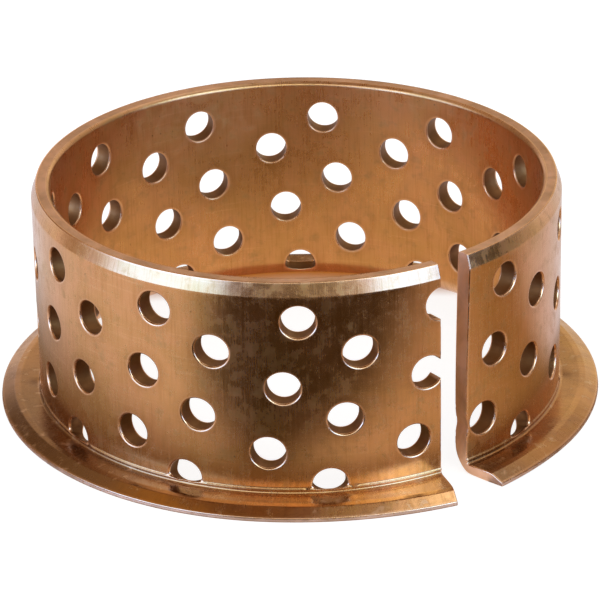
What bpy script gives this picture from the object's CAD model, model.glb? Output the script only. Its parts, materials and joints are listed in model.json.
"""The dressed bushing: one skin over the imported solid, with its bronze, its studio and its camera.

Sizes are millimetres until they are written to a mesh, a lamp or the camera. The skin is laid out
flat, as the strip was before it was rolled: s runs round the ring at the middle of the wall, from
the split's right edge, and t runs from the open end down the wall and out along the flange.
"""

import json
from math import asin, cos, pi, radians, sin, tan

import bpy
import numpy as np
from mathutils import Matrix, Vector
from mathutils.geometry import delaunay_2d_cdt


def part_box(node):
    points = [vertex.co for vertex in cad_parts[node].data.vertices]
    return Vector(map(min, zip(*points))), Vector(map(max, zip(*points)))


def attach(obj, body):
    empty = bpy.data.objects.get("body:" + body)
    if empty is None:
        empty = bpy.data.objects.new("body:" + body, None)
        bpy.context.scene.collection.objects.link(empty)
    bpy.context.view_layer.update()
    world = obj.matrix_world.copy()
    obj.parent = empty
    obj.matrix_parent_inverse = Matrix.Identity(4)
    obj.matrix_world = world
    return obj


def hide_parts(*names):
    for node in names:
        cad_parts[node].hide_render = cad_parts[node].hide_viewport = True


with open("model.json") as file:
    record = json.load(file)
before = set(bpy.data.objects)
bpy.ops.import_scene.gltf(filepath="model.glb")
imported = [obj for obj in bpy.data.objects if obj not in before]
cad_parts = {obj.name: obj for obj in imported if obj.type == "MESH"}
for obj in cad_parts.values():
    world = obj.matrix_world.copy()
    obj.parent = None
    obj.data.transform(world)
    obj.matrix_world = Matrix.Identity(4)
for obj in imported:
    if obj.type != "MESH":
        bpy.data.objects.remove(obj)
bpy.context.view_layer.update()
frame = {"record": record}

MM = 0.001

# One unit of the skin's UV map, in millimetres of the flat strip
UV_UNIT = 100

# From the frame: the bore, the outside, the height and the flange
mounts = {mount["name"]: mount for mount in frame["record"]["mounts"]}
BORE_RADIUS = mounts["bore"]["dims"]["r_mm"]
OUTER_RADIUS = mounts["housing_fit"]["dims"]["r_mm"]
LENGTH = (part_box("bushing")[1][2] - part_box("bushing")[0][2]) / MM
FLANGE_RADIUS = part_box("bushing")[1][0] / MM

# Wall
MID_RADIUS = (BORE_RADIUS + OUTER_RADIUS) / 2
OUTER_CHAMFER_HEIGHT = 1.8
OUTER_CHAMFER_ANGLE = 20
OUTER_CHAMFER_WIDTH = OUTER_CHAMFER_HEIGHT * tan(radians(OUTER_CHAMFER_ANGLE))
INNER_CHAMFER = 0.45

# Foot of the wall and flange
RIDGE_HEIGHT = 1.9
RIDGE_PROUD = 0.13
BEND_CENTRE_RADIUS = OUTER_RADIUS + 1.05
BEND_END_HEIGHT = 0.65
BEND_RADIUS = BEND_CENTRE_RADIUS - BORE_RADIUS

# What ties the bore side to t round the bend: (LENGTH - t, degrees of the bend)
BEND_TURNS = (
    (BEND_RADIUS, 0), (3.3, 4), (2.46, 22), (RIDGE_HEIGHT, 40), (1.3, 61), (BEND_END_HEIGHT, 90),
)
BEND_STEPS = 60

# Corners of the flange's upper side, as (r, z), and the place there that has FLANGE_T
GROOVE = (OUTER_RADIUS + 0.2, 1.35)
CREST = (OUTER_RADIUS + 2.7, 1.43)
BROW = (FLANGE_RADIUS - 1.75, 1.35)
GROOVE_END = (BEND_CENTRE_RADIUS, 1.38)
RIM_HEIGHT = 0.55

# The bead at the top of the foot: (out from the wall, up from the ridge, round)
RIDGE_SECTION = (
    (0, 0.2, 0.2),
    (RIDGE_PROUD, 0.08, 0.1),
    (RIDGE_PROUD + 0.02, -0.1, 0.1),
    (0.05, -0.28, 0.12),
)

# Rounds of the section's other corners
CHAMFER_ROUND = 0.25
BORE_CHAMFER_ROUND = 0.3
GROOVE_ROUND = 0.35
CREST_ROUND = 1.5
BROW_ROUND = 0.5

# Split and the flange's two ends
SPLIT_WIDTH = 4.0
SPLIT_LEAN = 0.5
LEAN_START_HEIGHT = 11.0
LEAN_CURVE = 1.5
LEFT_SETBACK = 2.0
RIGHT_SETBACK = 1.4

# How far each flange end stands out, and the angle from the split's middle that it takes.
# Along t it starts before the bend's end, and comes in over a run.
RIGHT_SPRING = (0.8, radians(25))
LEFT_SPRING = (1.7, radians(40))
SPRING_START = 0.4
SPRING_RUN = 2

# How far in from the split its form fades out, on the wall and further in on the flange
END_FADE = 2.5
FLANGE_END_FADE = 9

# Grease holes along the strip
HOLE_RADIUS = 2.2
ROWS = 3
ROW_PITCH = 9.08
ROW_LEAN = 1.97
FIRST_ROW_HEIGHT = 7.0
COLUMN_PITCH = 18.32
COLUMN_SHIFT = 8.55
FIRST_HOLE_FROM_SPLIT = 2.8
FOOT_HOLE_FLOOR = 1.75

# Marks of the press: a dimple under each foot hole, and a dent in the split's right edge
DIMPLE_DEPTH = 0.1
DIMPLE_RADIUS = 1.1
DIMPLE_HEIGHT = 1.0
DENT_DEPTH = 0.28
DENT_HEIGHT = 6.6
DENT_RADIUS = 0.9

# Rolled edges
OUTER_LIP = 0.26
INNER_LIP = 0.16
CUT_ROUND = 0.14

# Mesh: spacing of the plain wall, with its rows closer than its columns as in a honeycomb
SPACING = 0.9
ROW_SPACING = SPACING * 0.87
T_DIGITS = 6

# Points of a hole's loops, the loops' gaps on each side, and the loops through the wall
HOLE_POINTS = 44
LIP_RINGS = (0, 0.03, 0.08, 0.15, OUTER_LIP, OUTER_LIP + 0.2)
WALL_SHARES = (0.98, 0.93, 0.7, 0.45, 0.2, 0.06, 0.02)

# Gaps of the rows that follow an edge, the chamfer, the ridge and the brow
EDGE_ROWS = (0, 0.03, 0.07, CUT_ROUND, 0.28)
TOP_ROWS = (0.45, 0.75, 1.1)
CHAMFER_ROWS = (-0.12, -0.06, 0, 0.06, 0.12)
RIDGE_ROWS = (-0.6, -0.35, -0.24, -0.16, -0.08, -0.02, 0.04, 0.1, 0.17, 0.28)
BROW_ROWS = (-1.1, -0.6, -0.3, -0.2, -0.1, 0, 0.1, 0.2, 0.3, 0.6, 1.0)
GROOVE_ROWS = 11
GROOVE_ROW_ENDS = (0.42, 0.7)
DENT_ROWS = np.arange(-2.4, 2.5, 0.2)

# Room that the points keep from the holes' rings, the cut edges, and the chamfer and ridge, and
# how far the rings of a cut hole run past the edge
ROW_ROOM = 0.12
FIELD_ROOM = 0.2
EDGE_ROOM = 0.6
FIELD_MARGINS = (0.5, 0.9)
RING_OVERRUN = 0.3

# Slack for what counts as inside a hole, past the right edge, without area, and one point
HOLE_SLACK = 1e-3
EDGE_SLACK = 1e-6
AREA_SLACK = 1e-8
MERGE_SLACK = 1e-4

STRIP = 2 * pi * MID_RADIUS - SPLIT_WIDTH
RIDGE_T = LENGTH - RIDGE_HEIGHT
FLANGE_T = LENGTH - BEND_END_HEIGHT
BROW_T = FLANGE_T + BROW[0] - BEND_CENTRE_RADIUS
END_T = FLANGE_T + FLANGE_RADIUS - BEND_CENTRE_RADIUS


# ---------------------------------------------------------------- layout of the strip

def hole_table():
    """(s, t, squash) of every grease hole.

    The columns lean, and every second one is half a row lower. The squash is how much shorter
    the hole's lower half is than a circle's.
    """
    table = []
    usable = STRIP - FIRST_HOLE_FROM_SPLIT - HOLE_RADIUS
    for shift, drop in ((0, 0.0), (COLUMN_SHIFT - ROW_LEAN / 2, ROW_PITCH / 2)):
        reach = usable - (COLUMN_SHIFT if shift else 0)
        for column in range(int(reach / COLUMN_PITCH) + 1):
            start = FIRST_HOLE_FROM_SPLIT + column * COLUMN_PITCH + shift
            for row in range(ROWS):
                height = FIRST_ROW_HEIGHT - drop + row * ROW_PITCH
                squash = max(1.0, HOLE_RADIUS / (height - FOOT_HOLE_FLOOR))
                table.append((start + row * ROW_LEAN, LENGTH - height, squash))
    return np.array(table)


HOLES = hole_table()
FOOT_HOLES = HOLES[HOLES[:, 2] > 1]


def right_edge(t):
    """s of the split's right edge: it leans open above the lean's start, and is dented below."""
    rise = LENGTH - LEAN_START_HEIGHT
    lean = SPLIT_LEAN * np.clip((rise - t) / rise, 0, 1) ** LEAN_CURVE
    dent = DENT_DEPTH * np.exp(-((t - LENGTH + DENT_HEIGHT) / DENT_RADIUS) ** 2)
    return lean + dent


def rounded(corners, segments=8):
    """A polyline through (r, z, round) corners, with an arc at every one between its ends.

    An arc takes at most its share of a side, so that two arcs never meet.
    """
    most = 0.49
    points = [np.array(corners[0][:2])]
    for before, corner, after in zip(corners, corners[1:], corners[2:]):
        here, radius = np.array(corner[:2]), corner[2]
        back = np.array(before[:2]) - here
        ahead = np.array(after[:2]) - here
        back_length, ahead_length = np.linalg.norm(back), np.linalg.norm(ahead)
        back, ahead = back / back_length, ahead / ahead_length
        half = np.arccos(np.clip(back @ ahead, -1, 1)) / 2
        reach = min(radius / np.tan(half), most * back_length, most * ahead_length)
        radius = reach * np.tan(half)
        bisector = (back + ahead) / np.linalg.norm(back + ahead)
        centre = here + bisector * radius / np.sin(half)
        start, end = here + back * reach - centre, here + ahead * reach - centre
        sweep = np.arctan2(start[0] * end[1] - start[1] * end[0], start @ end)
        for step in range(segments + 1):
            turn = sweep * step / segments
            spin = np.array([[np.cos(turn), -np.sin(turn)], [np.sin(turn), np.cos(turn)]])
            points.append(centre + spin @ start)
    points.append(np.array(corners[-1][:2]))
    return np.array(points)


class Contour:
    """One side of the section as a curve of t, with t tied to the curve at a few anchors."""

    def __init__(self, points, anchors):
        steps = np.linalg.norm(np.diff(points, axis=0), axis=1)
        self.points = points
        self.lengths = np.concatenate([[0], np.cumsum(steps)])
        self.anchor_t = [t for t, _ in anchors]
        self.anchor_length = [self.length_near(place) for _, place in anchors]

    def length_near(self, place):
        return self.lengths[np.argmin(np.linalg.norm(self.points - np.array(place), axis=1))]

    def at(self, t):
        length = np.interp(t, self.anchor_t, self.anchor_length)
        r = np.interp(length, self.lengths, self.points[:, 0])
        z = np.interp(length, self.lengths, self.points[:, 1])
        return r, z

    def normal(self, t, step=0.02):
        """Unit normal in the section, to the left of the way t runs."""
        r0, z0 = self.at(t - step)
        r1, z1 = self.at(t + step)
        dr, dz = r1 - r0, z1 - z0
        size = np.maximum(np.hypot(dr, dz), 1e-9)
        return -dz / size, dr / size


def outer_contour():
    top = (OUTER_RADIUS - OUTER_CHAMFER_WIDTH, LENGTH)
    corners = [
        (*top, 0),
        (OUTER_RADIUS, LENGTH - OUTER_CHAMFER_HEIGHT, CHAMFER_ROUND),
        *((OUTER_RADIUS + out, RIDGE_HEIGHT + up, turn) for out, up, turn in RIDGE_SECTION),
        (*GROOVE, GROOVE_ROUND),
        (*CREST, CREST_ROUND),
        (*BROW, BROW_ROUND),
        (FLANGE_RADIUS, RIM_HEIGHT, 0),
    ]
    anchors = [
        (0, top),
        (RIDGE_T, (OUTER_RADIUS + RIDGE_PROUD, RIDGE_HEIGHT)),
        (FLANGE_T, GROOVE_END),
        (END_T, (FLANGE_RADIUS, RIM_HEIGHT)),
    ]
    return Contour(rounded(corners), anchors)


def inner_contour():
    """The bore side.

    Each point is level with its outer one down the wall, and about square to it round the bend.
    """
    top = (BORE_RADIUS + INNER_CHAMFER, LENGTH)
    chamfer = (BORE_RADIUS, LENGTH - INNER_CHAMFER)
    turns = radians(90) * np.linspace(0, 1, BEND_STEPS)
    bend_r = BEND_CENTRE_RADIUS - BEND_RADIUS * np.cos(turns)
    bend_z = BEND_RADIUS * (1 - np.sin(turns))
    head = rounded([(*top, 0), (*chamfer, BORE_CHAMFER_ROUND), (BORE_RADIUS, BEND_RADIUS, 0)])
    bend = np.column_stack([bend_r, bend_z])
    points = np.concatenate([head, bend[1:], [[FLANGE_RADIUS, 0]]])
    anchors = [(0, top), (INNER_CHAMFER, chamfer)]
    for level, turn in BEND_TURNS:
        spot = (np.interp(radians(turn), turns, bend_r), np.interp(radians(turn), turns, bend_z))
        anchors.append((LENGTH - level, spot))
    anchors.append((END_T, (FLANGE_RADIUS, 0)))
    return Contour(points, anchors)


OUTER = outer_contour()
INNER = inner_contour()


def lip_drop(distance, radius):
    """How far a rolled edge of that radius falls away, this far in from the edge."""
    inside = np.clip(radius - distance, 0, radius)
    return radius - np.sqrt(radius**2 - inside**2)


def hole_distance(s, t):
    """Distance out from the nearest hole's edge, and less than zero inside a hole."""
    ds = s[:, None] - HOLES[None, :, 0]
    dt = t[:, None] - HOLES[None, :, 1]
    squash = np.where(dt > 0, HOLES[None, :, 2], 1.0)
    reach = np.maximum(np.hypot(ds, dt * squash), 1e-6)
    steepness = np.hypot(ds, dt * squash**2) / reach
    return ((reach - HOLE_RADIUS) / np.maximum(steepness, 1e-6)).min(axis=1)


def edge_distance(s, t):
    """Distance in from the strip's own four edges."""
    return np.minimum.reduce([s - right_edge(t), STRIP - s, t, END_T - t])


def dimple_drop(s, t):
    """The shallow dimple that the closed foot of each lowest hole leaves in the flange."""
    below = t[:, None] - LENGTH + DIMPLE_HEIGHT
    away = np.hypot(s[:, None] - FOOT_HOLES[None, :, 0], below)
    return DIMPLE_DEPTH * np.exp(-(away / DIMPLE_RADIUS) ** 2).sum(axis=1)


def spring(angle):
    """How far the flange's ends stand out, by the angle round from the split's middle."""
    return sum(
        rise * np.clip(1 - away / reach, 0, 1) ** 2
        for away, (rise, reach) in ((angle, RIGHT_SPRING), (2 * pi - angle, LEFT_SPRING))
    )


def place(s, t, share):
    """Points of the skin. The share is 1 on the outside, 0 on the bore side, and between them."""
    hole, edge = hole_distance(s, t), edge_distance(s, t)
    sides = []
    for contour, lip, way in ((OUTER, OUTER_LIP, 1), (INNER, INNER_LIP, -1)):
        fall = np.maximum(lip_drop(hole, lip), lip_drop(edge, CUT_ROUND))
        if way > 0:
            fall = fall + dimple_drop(s, t)
        r, z = contour.at(t)
        normal_r, normal_z = contour.normal(t)
        sides.append((r - way * normal_r * fall, z - way * normal_z * fall))
    (outer_r, outer_z), (inner_r, inner_z) = sides
    r = inner_r + (outer_r - inner_r) * share
    z = inner_z + (outer_z - inner_z) * share

    # The split's faces are parallel planes, and the flange's ends are sheared back from them
    middle_angle = asin(SPLIT_WIDTH / 2 / MID_RADIUS)
    angle = middle_angle + s / STRIP * (2 * pi - 2 * middle_angle)
    own_angle = np.arcsin(SPLIT_WIDTH / 2 / r) - middle_angle
    out = np.clip((r - OUTER_RADIUS) / (FLANGE_RADIUS - OUTER_RADIUS), 0, 1)
    on_flange = np.clip(t - RIDGE_T, 0, 1)
    for distance, setback, way in ((s, RIGHT_SETBACK, 1), (STRIP - s, LEFT_SETBACK, -1)):
        fade = np.clip(1 - distance / (END_FADE + FLANGE_END_FADE * on_flange), 0, 1) ** 2
        angle = angle + way * fade * (own_angle + setback * out * on_flange / r)
    r = r + spring(angle) * np.clip((t - FLANGE_T + SPRING_START) / SPRING_RUN, 0, 1)
    theta = angle - pi / 2
    return np.column_stack([r * np.cos(theta), r * np.sin(theta), z])


# ---------------------------------------------------------------- mesh of the strip

def row_heights():
    """t of the rows that follow the section's rounds and edges.

    Every height is rounded alike, so that a row's end and the edge's own point are one point.
    Otherwise slivers come between them, and leave a step in the edge when they are dropped.
    """
    rows = [*EDGE_ROWS, *(END_T - gap for gap in EDGE_ROWS), *TOP_ROWS]
    rows += [OUTER_CHAMFER_HEIGHT + gap for gap in CHAMFER_ROWS]
    rows += [RIDGE_T + gap for gap in RIDGE_ROWS]
    below_ridge, past_bend = GROOVE_ROW_ENDS
    rows += list(np.linspace(RIDGE_T + below_ridge, FLANGE_T + past_bend, GROOVE_ROWS))
    rows += [BROW_T + gap for gap in BROW_ROWS]
    return np.round(sorted(rows), T_DIGITS)


def hole_ring(hole, gap):
    """Points of one loop round a hole, that gap out from its edge."""
    turns = np.linspace(0, 2 * pi, HOLE_POINTS, endpoint=False)
    squash = np.where(np.sin(turns) > 0, hole[2], 1.0)
    edge_s, edge_t = HOLE_RADIUS * np.cos(turns), HOLE_RADIUS * np.sin(turns) / squash
    out_s, out_t = np.cos(turns), np.sin(turns) * squash
    size = np.hypot(out_s, out_t)
    ring_s = hole[0] + edge_s + gap * out_s / size
    ring_t = hole[1] + edge_t + gap * out_t / size
    return np.column_stack([ring_s, ring_t])


def clear_runs(row, room):
    """The stretches of a row that keep that room from every hole."""
    clear = hole_distance(row[:, 0], row[:, 1]) > room
    breaks = np.flatnonzero(np.diff(clear.astype(int))) + 1
    return [run for run, ok in zip(np.split(row, breaks), np.split(clear, breaks)) if ok[0]]


def row_points(t, columns, offset=0.0):
    """One row across the strip, with the close points that round its two ends."""
    start = right_edge(t)
    middle = start + (STRIP - start) * columns / STRIP + offset
    middle = middle[(middle > start + EDGE_ROOM) & (middle < STRIP - EDGE_ROOM)]
    ends = np.array(EDGE_ROWS)
    s = np.concatenate([start + ends, middle, (STRIP - ends)[::-1]])
    return np.column_stack([s, np.full(len(s), t)])


def field_heights():
    """t of the evenly spaced rows down the plain wall."""
    top, bottom = OUTER_CHAMFER_HEIGHT + FIELD_MARGINS[0], RIDGE_T - FIELD_MARGINS[1]
    count = int((bottom - top) / ROW_SPACING) + 1
    return np.round(np.linspace(top, bottom, count), T_DIGITS)


def outline_heights():
    """t of the points down the strip's two cut edges, closer together along the dent."""
    dent = DENT_ROWS * DENT_RADIUS + LENGTH - DENT_HEIGHT
    heights = np.concatenate([row_heights(), field_heights(), dent])
    return np.unique(np.round(heights, T_DIGITS))


def layout():
    """Points and edges of the flat layout for the triangulation."""
    points, edges = [], []

    def add_chain(chain, closed=False):
        start = sum(len(block) for block in points)
        points.append(chain)
        edges.extend((start + i, start + i + 1) for i in range(len(chain) - 1))
        if closed:
            edges.append((start + len(chain) - 1, start))

    for hole in HOLES:
        for gap in LIP_RINGS:
            loop = hole_ring(hole, gap)
            if (edge_distance(loop[:, 0], loop[:, 1]) >= 0).all():
                add_chain(loop, closed=True)
                continue
            kept = edge_distance(loop[:, 0], loop[:, 1]) >= -RING_OVERRUN
            if kept.all():
                add_chain(loop)
            elif kept.any():
                order = np.roll(np.arange(len(loop)), -int(np.argmin(kept)))
                add_chain(loop[[index for index in order if kept[index]]])

    columns = np.linspace(0, STRIP, int(STRIP / SPACING) + 1)
    for t in row_heights():
        for run in clear_runs(row_points(t, columns), LIP_RINGS[-1] + ROW_ROOM):
            add_chain(run)

    for index, t in enumerate(field_heights()):
        row = row_points(t, columns, SPACING / 2 * (index % 2))
        points.extend(clear_runs(row, LIP_RINGS[-1] + FIELD_ROOM))

    down = outline_heights()
    add_chain(np.column_stack([right_edge(down), down]))
    add_chain(np.column_stack([np.full(len(down), STRIP), down]))
    return np.concatenate(points), edges


def triangulate():
    """The flat layout's points and its triangles, which run clockwise so as to face outwards."""
    points, edges = layout()
    vectors = [Vector(point) for point in points]
    corners, _, faces, *_ = delaunay_2d_cdt(vectors, edges, [], 0, MERGE_SLACK)
    corners = np.array([tuple(corner) for corner in corners])
    faces = np.array(faces)
    middle = corners[faces].mean(axis=1)
    a, b, c = (corners[faces[:, index]] for index in range(3))
    ab, ac = b - a, c - a
    area = ab[:, 0] * ac[:, 1] - ab[:, 1] * ac[:, 0]
    down = outline_heights()
    edge = np.interp(middle[:, 1], down, right_edge(down))
    keep = hole_distance(middle[:, 0], middle[:, 1]) > -HOLE_SLACK
    keep &= (middle[:, 0] > edge - EDGE_SLACK) & (middle[:, 0] < STRIP)
    keep &= (middle[:, 1] > 0) & (middle[:, 1] < END_T)
    keep &= np.abs(area) > AREA_SLACK
    faces, area = faces[keep], area[keep]
    faces[area > 0] = faces[area > 0][:, ::-1]
    used = np.unique(faces)
    renumber = np.full(len(corners), -1)
    renumber[used] = np.arange(len(used))
    return corners[used], renumber[faces]


def border_edges(faces):
    """Directed edges that only one triangle has."""
    seen = {edge for a, b, c in faces.tolist() for edge in ((a, b), (b, c), (c, a))}
    return sorted(edge for edge in seen if edge[::-1] not in seen)


def sheet_normals(s, t, share, way, step=0.01):
    """Normals of one side from its own form, and zero by an edge, where Blender's own are kept."""
    across = place(s + step, t, share) - place(s - step, t, share)
    along = place(s, t + step, share) - place(s, t - step, share)
    normals = np.cross(along, across) * way
    normals /= np.maximum(np.linalg.norm(normals, axis=1, keepdims=True), 1e-12)
    near = (hole_distance(s, t) < 2 * step) | (edge_distance(s, t) < 2 * step)
    normals[near] = 0
    return normals


def add_attribute(mesh, name, values):
    attribute = mesh.attributes.new(name, "FLOAT", "POINT")
    attribute.data.foreach_set("value", values.astype(np.float32))


def build_skin():
    """Both sides of the strip, joined through the wall at every hole and along every edge."""
    flat, faces = triangulate()
    s, t = flat[:, 0], flat[:, 1]
    count = len(flat)
    border = border_edges(faces)
    rim = np.unique(border)
    shares = [np.ones(count), np.zeros(count)]
    shares += [np.full(len(rim), share) for share in WALL_SHARES]
    flats = [flat, flat] + [flat[rim]] * len(WALL_SHARES)
    positions = np.concatenate([
        place(block[:, 0], block[:, 1], share) for block, share in zip(flats, shares)
    ])
    row_of = {vertex: index for index, vertex in enumerate(rim.tolist())}
    steps = len(WALL_SHARES) + 1

    def through(vertex, step):
        if step == 0:
            return vertex
        if step == steps:
            return count + vertex
        return 2 * count + (step - 1) * len(rim) + row_of[vertex]

    polygons = [tuple(face) for face in faces.tolist()]
    polygons += [(count + a, count + c, count + b) for a, b, c in faces.tolist()]
    polygons += [
        (through(b, step), through(a, step), through(a, step + 1), through(b, step + 1))
        for a, b in border
        for step in range(steps)
    ]
    mesh = bpy.data.meshes.new("bushing_skin")
    mesh.from_pydata((positions * MM).tolist(), [], polygons)
    mesh.polygons.foreach_set("use_smooth", [True] * len(polygons))

    strip_places, all_shares = np.concatenate(flats), np.concatenate(shares)
    loops = np.empty(len(mesh.loops), np.int32)
    mesh.loops.foreach_get("vertex_index", loops)
    strip_map = mesh.uv_layers.new(name="strip")
    strip_uv = (strip_places[loops] / UV_UNIT).astype(np.float32)
    strip_map.data.foreach_set("uv", strip_uv.ravel())
    add_attribute(mesh, "share", all_shares)
    add_attribute(mesh, "hole_distance", hole_distance(*strip_places.T))
    add_attribute(mesh, "edge_distance", edge_distance(*strip_places.T))

    normals = np.zeros_like(positions)
    normals[:count] = sheet_normals(s, t, shares[0], 1)
    normals[count:2 * count] = sheet_normals(s, t, shares[1], -1)
    mesh.normals_split_custom_set_from_vertices(normals.tolist())
    mesh.update()
    skin = bpy.data.objects.new("bushing_skin", mesh)
    bpy.context.collection.objects.link(skin)
    return skin


# ---------------------------------------------------------------- materials

# Colours of the bronze, linear
BRONZE = (0.66, 0.335, 0.15)
OLIVE = (0.50, 0.27, 0.085)
ROSE = (0.71, 0.33, 0.17)
DULL = (0.40, 0.235, 0.085)
RUBBED = (0.80, 0.46, 0.24)
STREAKED = (0.44, 0.20, 0.06)
TARNISHED = (0.36, 0.19, 0.10)
GRIMY = (0.24, 0.135, 0.075)
SCUFFED = (0.84, 0.55, 0.36)
SPECKED = (0.16, 0.08, 0.035)
HALOED = (0.42, 0.19, 0.07)
CUT_FACE = (0.20, 0.085, 0.03)
WORN = (0.86, 0.50, 0.30)

# How far the wear of a rim, the wear of a cut and the halo round a hole reach, in millimetres
RIM_WEAR = 0.42
CUT_WEAR = 0.35
HALO = (0.1, 1.5)

# Where on the strip the flange starts, from RIDGE_T, and where it is grimy: an arc at the
# left by its middle, its full and its last reach, and the end beside the split
FLANGE_START = (-0.4, 1.2)
GRIME_ARC = (155, 10, 35)
GRIME_END = (1, 9)


class Graph:
    """A material's or a world's node tree, built by calls that return sockets."""

    def __init__(self, owner):
        owner.use_nodes = True
        self.nodes, self.links = owner.node_tree.nodes, owner.node_tree.links
        self.nodes.clear()

    def add(self, kind, *inputs, output=0, **settings):
        """A node with its settings. An input is a socket, a plain value, or None to leave alone."""
        node = self.nodes.new(kind)
        for name, value in settings.items():
            setattr(node, name, value)
        for socket, value in zip(node.inputs, inputs):
            self.feed(socket, value)
        return node.outputs[output]

    def feed(self, socket, value):
        if isinstance(value, bpy.types.NodeSocket):
            self.links.new(value, socket)
        elif value is not None:
            socket.default_value = value

    def math(self, operation, *inputs):
        return self.add("ShaderNodeMath", *inputs, operation=operation)

    def product(self, first, second):
        return self.math("MULTIPLY", first, second)

    def total(self, first, *others):
        for value in others:
            first = self.math("ADD", first, value)
        return first

    def vector(self, operation, *inputs, output=0):
        """A vector node. Its first output is a vector, and its second one a number."""
        return self.add("ShaderNodeVectorMath", *inputs, operation=operation, output=output)

    def stretch(self, value, low, high, new_low=0.0, new_high=1.0):
        """The value's own range, mapped to a new one and held inside it."""
        return self.add("ShaderNodeMapRange", value, low, high, new_low, new_high)

    def noise(self, place, scale, detail=3.0, roughness=0.55, distortion=0.0):
        node = self.nodes.new("ShaderNodeTexNoise")
        for name, value in (("Vector", place), ("Scale", scale), ("Detail", detail),
                            ("Roughness", roughness), ("Distortion", distortion)):
            self.feed(node.inputs[name], value)
        return node.outputs["Fac"]

    def scaled(self, place, x, y, z=1.0):
        return self.vector("MULTIPLY", place, (x, y, z))

    def attribute(self, name):
        return self.add("ShaderNodeAttribute", attribute_name=name, output=2)

    def tint(self, base, colour, factor):
        """The base colour, taken towards another by the factor."""
        node = self.nodes.new("ShaderNodeMix")
        node.data_type = "RGBA"
        self.feed(node.inputs[0], factor)
        self.feed(node.inputs[6], base)
        self.feed(node.inputs[7], (*colour, 1))
        return node.outputs[2]

    def bump(self, height, strength, distance, normal=None):
        """A normal with that relief, on top of another normal where one is given."""
        node = self.nodes.new("ShaderNodeBump")
        for name, value in (("Strength", strength), ("Distance", distance),
                            ("Height", height), ("Normal", normal)):
            self.feed(node.inputs[name], value)
        return node.outputs[0]

    def output(self, shader, kind="ShaderNodeOutputMaterial"):
        node = self.nodes.new(kind)
        self.links.new(shader, node.inputs["Surface"])


def bronze_material():
    """Rolled bronze: cloudy patina, brushing up the wall, rub marks, specks and worn edges."""
    material = bpy.data.materials.new("bronze")
    graph = Graph(material)
    stretch, product = graph.stretch, graph.product
    strip = graph.nodes.new("ShaderNodeUVMap")
    strip.uv_map = "strip"
    flat = strip.outputs[0]
    solid = graph.add("ShaderNodeTexCoord", output=3)
    share = graph.attribute("share")
    hole = graph.attribute("hole_distance")
    edge = graph.attribute("edge_distance")
    around = graph.add("ShaderNodeSeparateXYZ", flat, output=0)
    down = graph.add("ShaderNodeSeparateXYZ", flat, output=1)

    # Masks by place
    through = stretch(product(share, graph.math("SUBTRACT", 1.0, share)), 0.0, 0.05)
    outside = stretch(share, 0.4, 0.6)
    hole_rim = graph.math("SUBTRACT", stretch(hole, 0.0, RIM_WEAR, 1.0, 0.0), through)
    cut_rim = stretch(edge, 0.0, CUT_WEAR, 1.0, 0.0)
    worn_rims = graph.math("MAXIMUM", hole_rim, cut_rim)
    halo = stretch(hole, *HALO, 1.0, 0.0)
    on_flange = stretch(down, *((RIDGE_T + gap) / UV_UNIT for gap in FLANGE_START))
    middle, full, last = (length / UV_UNIT for length in GRIME_ARC)
    off_middle = graph.math("ABSOLUTE", graph.math("SUBTRACT", around, middle))
    arc = stretch(off_middle, full, last, 0.75, 0.0)
    right_end = stretch(around, *(length / UV_UNIT for length in GRIME_END), 0.7, 0.0)

    # Fields
    clouds = graph.noise(solid, 70.0, 5.0, 0.62, 0.8)
    patches = graph.noise(solid, 190.0, 4.0, 0.6, 0.5)
    mottle = graph.noise(solid, 620.0, 3.0, 0.65)
    brushing = graph.noise(graph.scaled(flat, 620.0, 9.0), 1.0, 2.0, 0.6)
    rubbing = graph.noise(graph.scaled(flat, 7.0, 260.0), 1.0, 3.0, 0.6)
    specks = graph.noise(solid, 1900.0, 2.0, 0.5)
    streaks = graph.noise(graph.scaled(flat, 300.0, 16.0), 1.0, 3.0, 0.6)

    # Colour, each layer over the ones before it
    layers = (
        (OLIVE, stretch(clouds, 0.36, 0.70, 0.0, 0.8)),
        (ROSE, stretch(patches, 0.42, 0.76, 0.0, 0.5)),
        (DULL, stretch(mottle, 0.55, 0.75, 0.0, 0.55)),
        (RUBBED, stretch(rubbing, 0.58, 0.74, 0.0, 0.35)),
        (STREAKED, stretch(streaks, 0.48, 0.68, 0.0, 0.4)),
        (TARNISHED, product(on_flange, stretch(patches, 0.45, 0.7, 0.0, 0.55))),
        (GRIMY, product(on_flange, graph.math("MAXIMUM", arc, right_end))),
        (SCUFFED, product(on_flange, stretch(mottle, 0.6, 0.68, 0.0, 0.5))),
        (SPECKED, product(product(stretch(specks, 0.68, 0.74), stretch(clouds, 0.5, 0.62)), 0.7)),
        (HALOED, product(halo, 0.35)),
        (CUT_FACE, product(through, 0.85)),
        (WORN, product(worn_rims, stretch(patches, 0.3, 0.6, 0.5, 0.9))),
    )
    colour = (*BRONZE, 1)
    for tone, mask in layers:
        colour = graph.tint(colour, tone, mask)

    rough = graph.total(
        stretch(clouds, 0.35, 0.7, 0.13, 0.24),
        stretch(mottle, 0.45, 0.8, 0.0, 0.16),
        stretch(patches, 0.35, 0.75, 0.0, 0.05),
        stretch(brushing, 0.4, 0.75, 0.0, 0.07),
        stretch(outside, 0.0, 1.0, 0.08, 0.0),
        product(through, 0.3),
    )

    # Relief, in metres: a swell under fine scratches
    scratches = graph.total(product(brushing, 0.5), product(rubbing, 0.3), product(mottle, 0.6))
    relief = graph.bump(scratches, 0.25, 0.00003, graph.bump(clouds, 0.2, 0.00025))

    shader = graph.nodes.new("ShaderNodeBsdfPrincipled")
    shader.inputs["Metallic"].default_value = 1.0
    graph.feed(shader.inputs["Base Color"], colour)
    graph.feed(shader.inputs["Roughness"], rough)
    graph.feed(shader.inputs["Normal"], relief)
    graph.output(shader.outputs[0])
    return material


# ---------------------------------------------------------------- studio and camera

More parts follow.
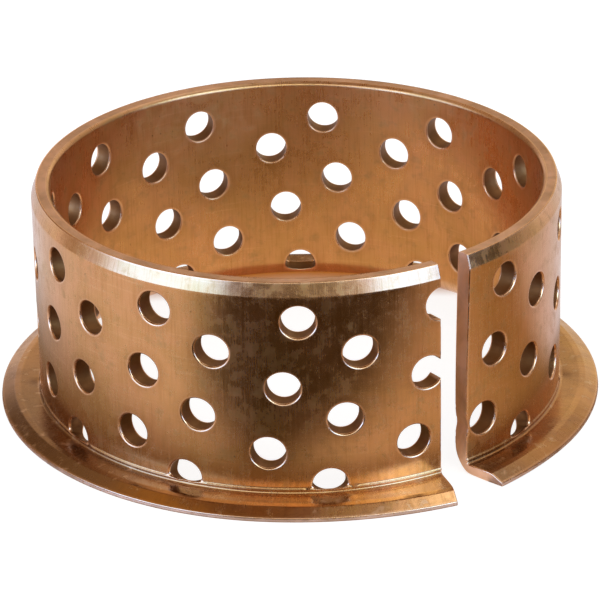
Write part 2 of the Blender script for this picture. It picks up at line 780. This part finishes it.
CAMERA_HEADING = -123.98
CAMERA_ELEVATION = 25.10
CAMERA_ROLL = -1.075
CAMERA_AIM_HEIGHT = 16
CAMERA_DISTANCE = 489.4
CAMERA_SHIFT = (0.269, -3.612)
CAMERA_CLIP_START = 10
FOCAL_PIXELS = 3664.4
IMAGE_PIXELS = 600

FLOOR_HALF = 2500
FLOOR_COLOUR = (0.35, 0.35, 0.35)
FLOOR_LIFT = 0.80
WORLD_LIGHT = 0.85

# Warm shade on the floor inside the ring. It comes up between two distances away from the
# photo's side, and ends between two radii.
BORE_SHADE = (0.42, 0.14, 0.02)
BORE_SHADE_START = (26, 31)
BORE_SHADE_EDGE = (35.5, 37.5)

# Name, azimuth, elevation, distance, width, height, power in watts
SOFTBOXES = (
    ("softbox_left", -54, 18, 700, 420, 420, 0.9),
    ("softbox_right", 47, 18, 700, 420, 420, 0.9),
)

# The painted studio that the bronze mirrors. It stands still in the world, at the photo's heading,
# and its azimuths are from that heading. The highlight is blue enough to come off bronze as white.
CARD_DISTANCE = 500
CARD_COLUMNS = 121
CARD_LIFT = 0.03
HIGHLIGHT = (1.5, 3.1, 7.0)
BEHIND_LEFT = (0.50, 0.42, 0.38)
BEHIND = (0.12, 0.07, 0.035)
LOW_TONES = (
    (-180, BEHIND), (-176, BEHIND_LEFT), (-170, (0.9, 0.75, 0.55)), (-164, (1.0, 0.9, 0.85)),
    (-156, (1.0, 0.9, 0.85)), (-144, (0.24, 0.16, 0.09)), (-105, (0.42, 0.30, 0.22)),
    (-96, (0.55, 0.48, 0.42)), (-84, (1.0, 1.2, 1.8)), (-75, HIGHLIGHT), (-34, HIGHLIGHT),
    (-28, (0.4, 0.4, 0.4)), (-22, (0.10, 0.06, 0.04)), (10, (0.10, 0.06, 0.04)),
    (20, (0.25, 0.2, 0.16)), (27, (0.8, 0.8, 0.8)), (33, HIGHLIGHT), (58, HIGHLIGHT),
    (64, (0.4, 0.4, 0.4)), (69, (0.05, 0.03, 0.02)), (92, (0.06, 0.05, 0.03)),
    (104, (0.44, 0.42, 0.42)), (132, (0.55, 0.50, 0.47)), (152, (1.0, 0.92, 0.66)),
    (172, (0.9, 0.8, 0.55)), (178, BEHIND), (180, BEHIND),
)
KEY_TONES = (
    (-180, BEHIND), (-176, BEHIND_LEFT), (-171, (0.9, 0.75, 0.5)), (-166, (0.9, 0.7, 0.45)),
    (-160, (0.5, 0.36, 0.2)), (-146, (0.18, 0.11, 0.05)), (-110, (0.5, 0.35, 0.22)),
    (-60, (1.5, 2.0, 2.4)), (0, (1.9, 2.2, 2.2)), (20, (2.4, 2.9, 2.8)),
    (40, (2.8, 5.0, 7.0)), (60, (2.8, 5.0, 7.0)), (78, (0.5, 0.4, 0.3)),
    (150, (0.6, 0.5, 0.4)), (172, (0.9, 0.8, 0.55)), (178, BEHIND), (180, BEHIND),
)
MID_TONES = (
    (-180, (0.35, 0.24, 0.14)), (-90, (0.5, 0.38, 0.26)), (0, (0.45, 0.33, 0.22)),
    (60, (0.5, 0.37, 0.24)), (115, (0.6, 0.5, 0.35)), (150, (0.9, 0.8, 0.6)),
    (180, (0.35, 0.24, 0.14)),
)
RISE_TONES = (
    (-180, (0.18, 0.11, 0.05)), (-136, (0.75, 0.45, 0.12)), (-100, (0.30, 0.18, 0.08)),
    (0, (0.26, 0.15, 0.07)), (95, (0.5, 0.4, 0.3)), (115, (2.2, 2.5, 2.8)), (140, (2.0, 2.1, 2.0)),
    (154, (0.4, 0.3, 0.16)), (180, (0.08, 0.05, 0.02)),
)
TOP_TONES = (
    (-180, (0.05, 0.03, 0.012)), (-150, (0.30, 0.18, 0.06)), (0, (0.20, 0.115, 0.055)),
    (115, (1.3, 1.4, 1.4)), (135, (0.9, 0.8, 0.6)), (150, (0.2, 0.13, 0.06)),
    (180, (0.05, 0.03, 0.012)),
)

# Elevations of the dome's bands, each from its lower to its upper edge
DOME_BANDS = (
    (0.5, 22, LOW_TONES), (28, 42, KEY_TONES), (46, 54, MID_TONES), (58, 69, RISE_TONES),
    (75, 89, TOP_TONES),
)

# Tones of the floor round the part, clear of the dark window in front of it
FLOOR_TONES = (
    (-180, (0.75, 0.75, 0.85)), (-124, (0.93, 0.95, 1.05)), (-64, (0.95, 0.92, 0.95)),
    (30, (0.76, 0.62, 0.46)), (54, (0.70, 0.55, 0.40)), (72, (0.48, 0.33, 0.17)),
    (85, (0.46, 0.30, 0.15)), (98, (0.85, 0.80, 0.88)), (140, (0.95, 0.95, 1.0)),
    (180, (0.75, 0.75, 0.85)),
)
FLOOR_RADII = (38.5, 41, 42.5, 44, 47, 50, 54, 60, 67, 80, 95, 130, 300)

# The dark window: its sides by radius, how softly they fade in degrees, and its two tones
WINDOW_LEFT = (-16, -33)
WINDOW_RADII = (42, 46, 67, 95)
WINDOW_RIGHT = (-9, -2, 30, 48)
WINDOW_LEFT_BLUR = 14
WINDOW_RIGHT_BLUR = 26
WINDOW_NEAR = (0.15, 0.10, 0.035)
WINDOW_FAR = (0.06, 0.036, 0.012)
WINDOW_DEPTH = (44, 58)

# Shade where the part meets the floor, full at one radius and gone at the reach of each azimuth
CONTACT_TONE = (0.22, 0.13, 0.045)
CONTACT_RADIUS = 41
CONTACT_REACH = ((-70, 66), (-40, 58), (-15, 52), (35, 45.5))

# The floor inside the ring, from dark to light towards its back left
BORE_DARK = (0.22, 0.15, 0.055)
BORE_LIGHT = (0.84, 0.66, 0.44)
BORE_LIGHT_SIDE = (0.8, 0.55)
BORE_LIGHT_RANGE = (-6, 10)
BORE_FLOOR_RADII = (0.1, 6, 12, 18, 24, 31)


def studio_point(azimuth, elevation, distance):
    """A place round the part: azimuth to the right of the photo's heading, and elevation."""
    heading = radians(CAMERA_HEADING + azimuth)
    tilt = radians(elevation)
    return Vector((cos(heading) * cos(tilt), sin(heading) * cos(tilt), sin(tilt))) * distance * MM


def add_object(name, data):
    made = bpy.data.objects.new(name, data)
    bpy.context.collection.objects.link(made)
    return made


def add_camera():
    heading, elevation, roll = map(radians, (CAMERA_HEADING, CAMERA_ELEVATION, CAMERA_ROLL))
    back = Vector((cos(heading) * cos(elevation), sin(heading) * cos(elevation), sin(elevation)))
    level = Vector((-sin(heading), cos(heading), 0))
    upward = back.cross(level)
    right = level * cos(roll) + upward * sin(roll)
    up = upward * cos(roll) - level * sin(roll)
    seat = Vector((0, 0, CAMERA_AIM_HEIGHT)) + back * CAMERA_DISTANCE
    seat = seat + right * CAMERA_SHIFT[0] + up * CAMERA_SHIFT[1]
    camera = add_object("camera", bpy.data.cameras.new("camera"))
    camera.data.lens = FOCAL_PIXELS / IMAGE_PIXELS * camera.data.sensor_width
    camera.data.clip_start = CAMERA_CLIP_START * MM
    camera.matrix_world = Matrix((
        (right.x, up.x, back.x, seat.x * MM),
        (right.y, up.y, back.y, seat.y * MM),
        (right.z, up.z, back.z, seat.z * MM),
        (0, 0, 0, 1),
    ))
    bpy.context.scene.camera = camera


def background_rays(graph):
    """1 on rays that show the background: camera, glossy and transmission rays."""
    path = graph.nodes.new("ShaderNodeLightPath").outputs
    seen = graph.math("MAXIMUM", path["Is Camera Ray"], path["Is Glossy Ray"])
    return graph.math("MAXIMUM", seen, path["Is Transmission Ray"])


def add_floor():
    """Pale paper that keeps shadows. What shows it as background also sees its glow."""
    half = FLOOR_HALF * MM
    corners = [(-half, -half, 0), (half, -half, 0), (half, half, 0), (-half, half, 0)]
    sheet = bpy.data.meshes.new("floor")
    sheet.from_pydata(corners, [], [(0, 1, 2, 3)])
    paper = bpy.data.materials.new("floor_paper")
    graph = Graph(paper)
    heading = radians(CAMERA_HEADING)
    spot = graph.add("ShaderNodeNewGeometry")
    away = graph.vector("DOT_PRODUCT", spot, (-cos(heading), -sin(heading), 0), output=1)
    radius = graph.vector("LENGTH", spot, output=1)
    far_side = graph.stretch(away, *(distance * MM for distance in BORE_SHADE_START))
    within = graph.stretch(radius, *(distance * MM for distance in BORE_SHADE_EDGE), 1.0, 0.0)
    tone = graph.tint((1, 1, 1, 1), BORE_SHADE, graph.product(far_side, within))
    diffuse = graph.add("ShaderNodeBsdfDiffuse", (*FLOOR_COLOUR, 1))
    lift = graph.product(background_rays(graph), FLOOR_LIFT)
    glow = graph.add("ShaderNodeEmission", tone, lift)
    graph.output(graph.add("ShaderNodeAddShader", diffuse, glow))
    sheet.materials.append(paper)
    add_object("floor", sheet)


def add_world():
    world = bpy.data.worlds.new("studio")
    graph = Graph(world)
    light = graph.add("ShaderNodeBackground", (1, 1, 1, 1), WORLD_LIGHT)
    white = graph.add("ShaderNodeBackground", (1, 1, 1, 1), 1.0)
    mixed = graph.add("ShaderNodeMixShader", background_rays(graph), light, white)
    graph.output(mixed, "ShaderNodeOutputWorld")
    bpy.context.scene.world = world


def add_softbox(name, azimuth, elevation, distance, width, height, power):
    lamp = bpy.data.lights.new(name, "AREA")
    lamp.shape = "RECTANGLE"
    lamp.size = width * MM
    lamp.size_y = height * MM
    lamp.energy = power
    softbox = add_object(name, lamp)
    softbox.location = studio_point(azimuth, elevation, distance)
    softbox.rotation_euler = softbox.location.to_track_quat("Z", "Y").to_euler()


def tones_at(stops, azimuths):
    """Colours along a list of (azimuth, colour) stops."""
    places = [azimuth for azimuth, _ in stops]
    channels = zip(*(colour for _, colour in stops))
    return np.column_stack([np.interp(azimuths, places, channel) for channel in channels])


def floor_tones(azimuths, radius):
    """The floor's colours at one radius: light paper, a dark window in front, and contact shade."""
    open_tone = tones_at(FLOOR_TONES, azimuths)
    left = np.interp(radius, WINDOW_RADII[1:3], WINDOW_LEFT)
    right = np.interp(radius, WINDOW_RADII, WINDOW_RIGHT)
    inside = np.clip((azimuths - left) / WINDOW_LEFT_BLUR + 0.5, 0, 1)
    inside *= np.clip((right - azimuths) / WINDOW_RIGHT_BLUR + 0.5, 0, 1)
    near, deep = WINDOW_DEPTH
    far = np.clip((radius - near) / (deep - near), 0, 1)
    dark = np.array(WINDOW_NEAR) * (1 - far) + np.array(WINDOW_FAR) * far
    tone = open_tone + (dark - open_tone) * inside[:, None]
    reach = np.interp(azimuths, *zip(*CONTACT_REACH))
    shade = np.clip((reach - radius) / (reach - CONTACT_RADIUS), 0, 1)[:, None]
    return tone + (np.minimum(tone, CONTACT_TONE) - tone) * shade


def bore_tones(azimuths, radius):
    """The floor's colours inside the ring: light towards its back left."""
    turns = np.radians(azimuths)
    back, left = BORE_LIGHT_SIDE
    towards = -radius * (back * np.cos(turns) + left * np.sin(turns))
    dark, bright = BORE_LIGHT_RANGE
    light = np.clip((towards - dark) / (bright - dark), 0, 1)[:, None]
    return np.array(BORE_DARK) * (1 - light) + np.array(BORE_LIGHT) * light


def add_card(name, rows, colours):
    """A painted card through rows of points, which only reflections see."""
    width = len(rows[0])
    faces = [
        (row * width + i, row * width + i + 1, (row + 1) * width + i + 1, (row + 1) * width + i)
        for row in range(len(rows) - 1)
        for i in range(width - 1)
    ]
    sheet = bpy.data.meshes.new(name)
    sheet.from_pydata([point for row in rows for point in row], [], faces)
    tones = np.concatenate(colours)
    tones = np.column_stack([tones, np.ones(len(tones))]).astype(np.float32)
    attribute = sheet.attributes.new("tone", "FLOAT_COLOR", "POINT")
    attribute.data.foreach_set("color", tones.ravel())
    paint = bpy.data.materials.new(name)
    graph = Graph(paint)
    tone = graph.add("ShaderNodeAttribute", attribute_name="tone")
    graph.output(graph.add("ShaderNodeEmission", tone, 1.0))
    sheet.materials.append(paint)
    card = add_object(name, sheet)
    card.visible_camera = False
    card.visible_diffuse = False
    card.visible_shadow = False


def add_studio():
    add_floor()
    add_world()
    for softbox in SOFTBOXES:
        add_softbox(*softbox)
    azimuths = np.linspace(-180, 180, CARD_COLUMNS)
    rows, colours = [], []
    for low, high, tones in DOME_BANDS:
        for elevation in (low, high):
            rows.append([studio_point(azimuth, elevation, CARD_DISTANCE) for azimuth in azimuths])
            colours.append(tones_at(tones, azimuths))
    add_card("studio_dome", rows, colours)
    lift = Vector((0, 0, CARD_LIFT * MM))
    for name, radii, painter in (
        ("studio_floor", FLOOR_RADII, floor_tones),
        ("studio_bore_floor", BORE_FLOOR_RADII, bore_tones),
    ):
        rows = [
            [studio_point(azimuth, 0, radius) + lift for azimuth in azimuths] for radius in radii
        ]
        add_card(name, rows, [painter(azimuths, radius) for radius in radii])


skin = build_skin()
skin.data.materials.append(bronze_material())
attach(skin, "root")
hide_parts("bushing")

add_studio()
add_camera()
bpy.context.scene.view_settings.view_transform = "Standard"
